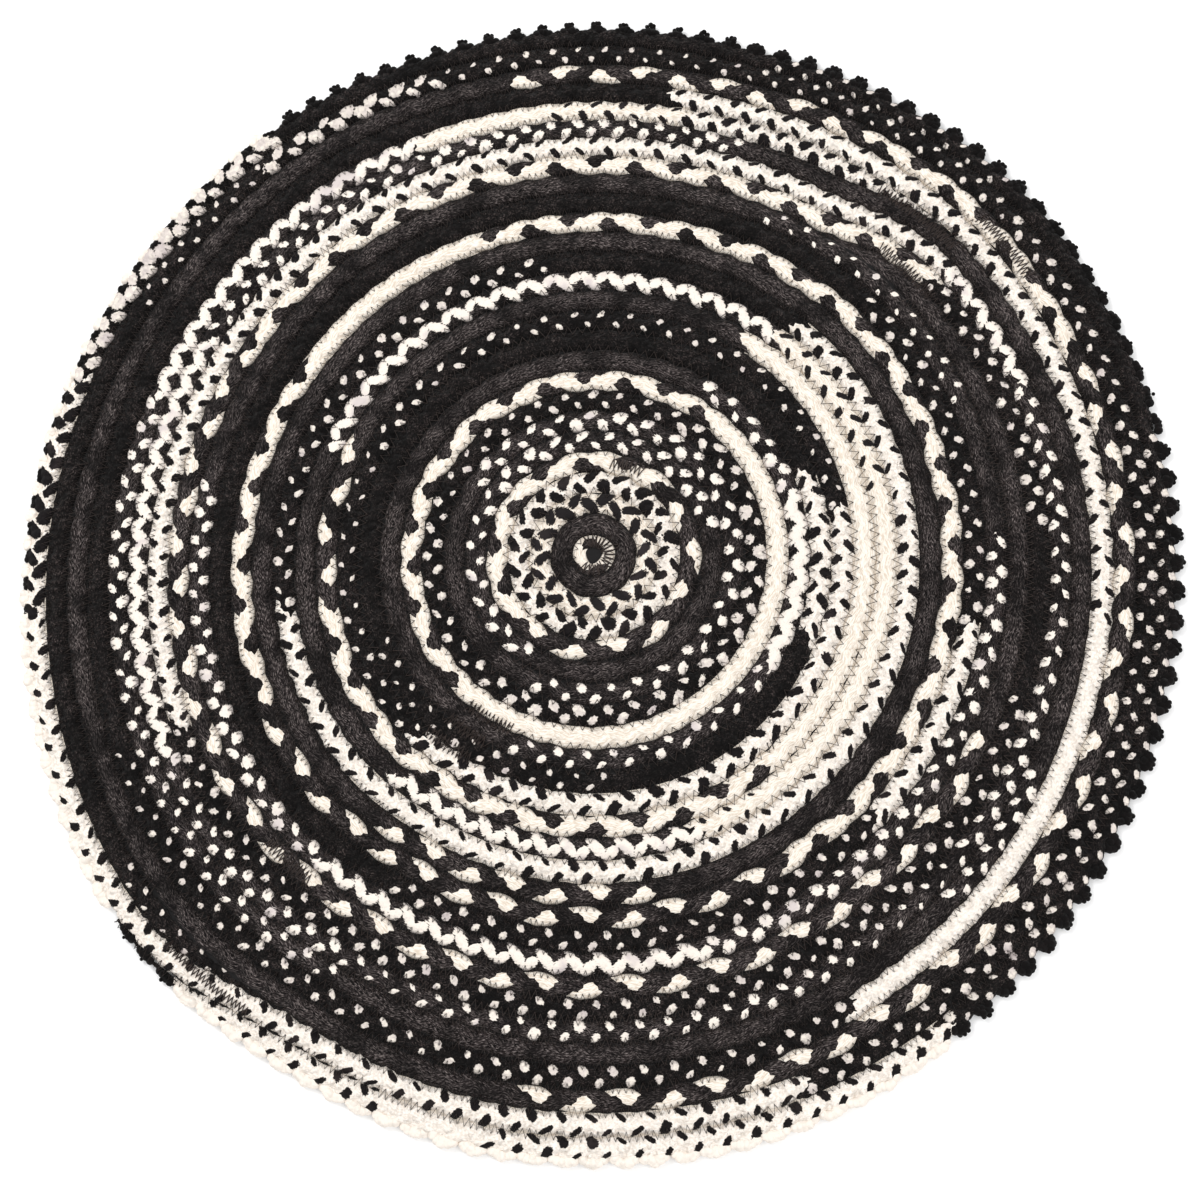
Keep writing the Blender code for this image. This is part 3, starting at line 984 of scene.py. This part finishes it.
def zigzag(path, stitch, width, bends=1):
    """A zigzag along this path of points, with each of its legs in this many parts."""
    along = distances(path)
    count = int(along[-1] / stitch * 2)
    corner = np.arange(count + 1)
    place = points_at(path, along, np.linspace(0, along[-1], count + 1))
    outward = outer_side(place)
    ahead = np.stack([-outward[:, 1], outward[:, 0], outward[:, 2]], axis=1)
    chance = np.random.default_rng(count)
    side = np.where(corner % 2 == 0, 0.5, -0.5) * width * chance.uniform(*STITCH_WIDTHS, count + 1)
    slip = chance.uniform(-STITCH_SLIP, STITCH_SLIP, count + 1) * stitch
    corners = place + outward * side[:, None] + ahead * slip[:, None]
    return {"place": points_at(corners, corner, np.arange(count * bends + 1) / bends)}


def seam_runs():
    """The zigzags of every seam and every tacked end. The tacks bend over the braid that they cross."""
    runs = []
    for first in coils:
        rounds, step = SPIRALS.get(first, (1, 0))
        opens = PATTERN[first][0][0]
        degrees = np.arange(opens, opens + 360 * rounds + COIL_STEP, 2 * COIL_STEP)
        turn, into = np.divmod(degrees - opens, 360)
        seam = first + np.minimum(turn, rounds - 1) + 0.5
        if step:
            seam = first + turn - 0.5 + ease(into / step)
        if first + rounds - 1 < ROUNDS:
            stitch = OUTER_STITCH if first < LONG_STITCHES_FROM_ROUND else INNER_STITCH
            runs.append(zigzag(on_rug(degrees, seam), stitch, ZIGZAG_WIDTH))
    for ring, start, end, stitch, width in TACKS:
        degrees = np.arange(start, end, COIL_STEP)
        runs.append(zigzag(on_rug(degrees, ring + 0 * degrees), stitch, width, bends=4))
    return runs


def thread_tree():
    """Drops the zigzag onto the braid from above or below and makes the thread on it."""
    sizes = ("Face", "Width", "Rise", "Drop")
    tree, inputs = new_tree("thread", {
        **{size: "Float" for size in sizes}, "Sides": "Int", "Braid": "Collection", "Thread": "Material"})
    braid = add(tree, "GeometryNodeCollectionInfo", {"Collection": inputs["Braid"]})
    surface = add(tree, "GeometryNodeRealizeInstances", {"Geometry": braid})
    away, rise = [add(tree, MATH, [inputs["Face"], inputs[size]], "MULTIPLY") for size in ("Drop", "Rise")]
    towards = add(tree, MATH, [inputs["Face"], -1.0], "MULTIPLY")
    away, rise, towards = [add(tree, COMBINE, {"Z": value}) for value in (away, rise, towards)]
    apart = add(tree, VECTOR_MATH, [add(tree, "GeometryNodeInputPosition"), away])
    hit = add(tree, "GeometryNodeRaycast", {
        "Target Geometry": surface,
        "Source Position": apart,
        "Ray Direction": towards,
        "Ray Length": add(tree, MATH, [inputs["Drop"], 2.0], "MULTIPLY"),
    }).outputs
    laid = add(tree, "GeometryNodeSetPosition", {
        "Geometry": inputs["Geometry"],
        "Selection": hit["Is Hit"],
        "Position": hit["Hit Position"],
        "Offset": rise,
    })
    lines = add(tree, "GeometryNodeMeshToCurve", {"Mesh": laid})
    radius = add(tree, MATH, [inputs["Width"], 0.5], "MULTIPLY")
    section = add(tree, "GeometryNodeCurvePrimitiveCircle",
                  {"Resolution": inputs["Sides"], "Radius": radius})
    thread = add(tree, "GeometryNodeCurveToMesh",
                 {"Curve": lines, "Profile Curve": section, "Fill Caps": True})
    close_tree(tree, thread, inputs["Thread"])
    return tree


def thread_material():
    """Spun polyester sewing thread: dark brown and dull, with a ply that is drawn coarser than it is."""
    material, tree, shader = new_material("brown_sewing_thread")
    place = add(tree, "ShaderNodeTexCoord").outputs["Object"]
    ply = add(tree, "ShaderNodeTexNoise", {"Vector": place, "Scale": 1 / PLY_SIZE, "Detail": 1.0})
    coloured = add(tree, MIX, [ply, linear("#1d1512"), linear("#35261f")], data_type="RGBA")
    give(tree, shader, {"Base Color": coloured, "Roughness": 0.7})
    return material


braid_group = bpy.data.collections.new("braid")
for piece in braid_pieces:
    braid_group.objects.link(piece)
thread = thread_tree()
thread_colour = thread_material()
for face, name in ((1.0, "zigzag_thread_upper"), (-1.0, "zigzag_thread_lower")):
    piece = grow(make_guides(name + "_lines", seam_runs()), thread, name, {
        "Braid": braid_group,
        "Face": face,
        "Width": THREAD_WIDTH,
        "Rise": THREAD_RISE,
        "Drop": DROP_HEIGHT,
        "Sides": THREAD_SIDES,
        "Thread": thread_colour,
    })
    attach(piece, "root")


# ----------------------------------------------------------------------
# Floor, light and camera. A plain white sweep, soft light from all round, and the camera of the
# photograph: about two metres up, looking down with a slight tilt.
# ----------------------------------------------------------------------

FLOOR_SIZE = 60.0


def make_floor():
    """A white sweep, matt and even, so that it shows only as brightness round the rug."""
    half = 0.5 * FLOOR_SIZE
    mesh = bpy.data.meshes.new("floor")
    corners = [(-half, -half, 0), (half, -half, 0), (half, half, 0), (-half, half, 0)]
    mesh.from_pydata(corners, [], [(0, 1, 2, 3)])
    floor = new_object("floor", mesh)
    material, tree, shader = new_material("white_floor")
    give(tree, shader, {"Base Color": linear("#fbfbfb"), "Roughness": 0.9})
    mesh.materials.append(material)


def make_lamp(name, place, size, power):
    """A round lamp that shines at the middle of the rug."""
    lamp = bpy.data.lights.new(name, "AREA")
    lamp.shape = "DISK"
    lamp.size = size
    lamp.energy = power
    holder = new_object(name, lamp)
    holder.location = place
    holder.rotation_euler = (-holder.location).to_track_quat("-Z", "Y").to_euler()


CAMERA_DISTANCE = 2.13
CAMERA_TILT = math.radians(13.71)
CAMERA_TURN = math.radians(105.7)
CAMERA_SHIFT = (0.005, -0.036)
FOCAL_SHARE = 2029 / 1200
SENSOR_WIDTH = 36.0


def make_camera():
    """Looks at the rug's centre from CAMERA_DISTANCE, tilted off straight down towards CAMERA_TURN."""
    x, y = math.cos(CAMERA_TURN), math.sin(CAMERA_TURN)
    down, aside = math.cos(CAMERA_TILT), math.sin(CAMERA_TILT)
    forward = np.array([x * aside, y * aside, -down])
    slope = np.array([x * down, y * down, aside])
    level = np.array([-y, x, 0.0])
    right = x * slope - y * level
    up = y * slope + x * level
    lens = bpy.data.cameras.new("camera")
    lens.sensor_width = SENSOR_WIDTH
    lens.lens = SENSOR_WIDTH * FOCAL_SHARE
    lens.shift_x, lens.shift_y = CAMERA_SHIFT
    camera = new_object("camera", lens)
    world = np.eye(4)
    world[:3, 0], world[:3, 1], world[:3, 2], world[:3, 3] = right, up, -forward, -CAMERA_DISTANCE * forward
    camera.matrix_world = mathutils.Matrix(world.tolist())
    bpy.context.scene.camera = camera


make_floor()
make_camera()
make_lamp("key_light", (-1.8, 1.6, 2.8), 1.6, 60)
make_lamp("fill_light", (2.2, -1.0, 2.6), 2.4, 35)
world = bpy.data.worlds.new("white_room")
world.use_nodes = True
world.node_tree.nodes["Background"].inputs["Color"].default_value = (1.0, 1.0, 1.0, 1.0)
world.node_tree.nodes["Background"].inputs["Strength"].default_value = 0.9
bpy.context.scene.world = world
bpy.context.scene.view_settings.view_transform = "Standard"
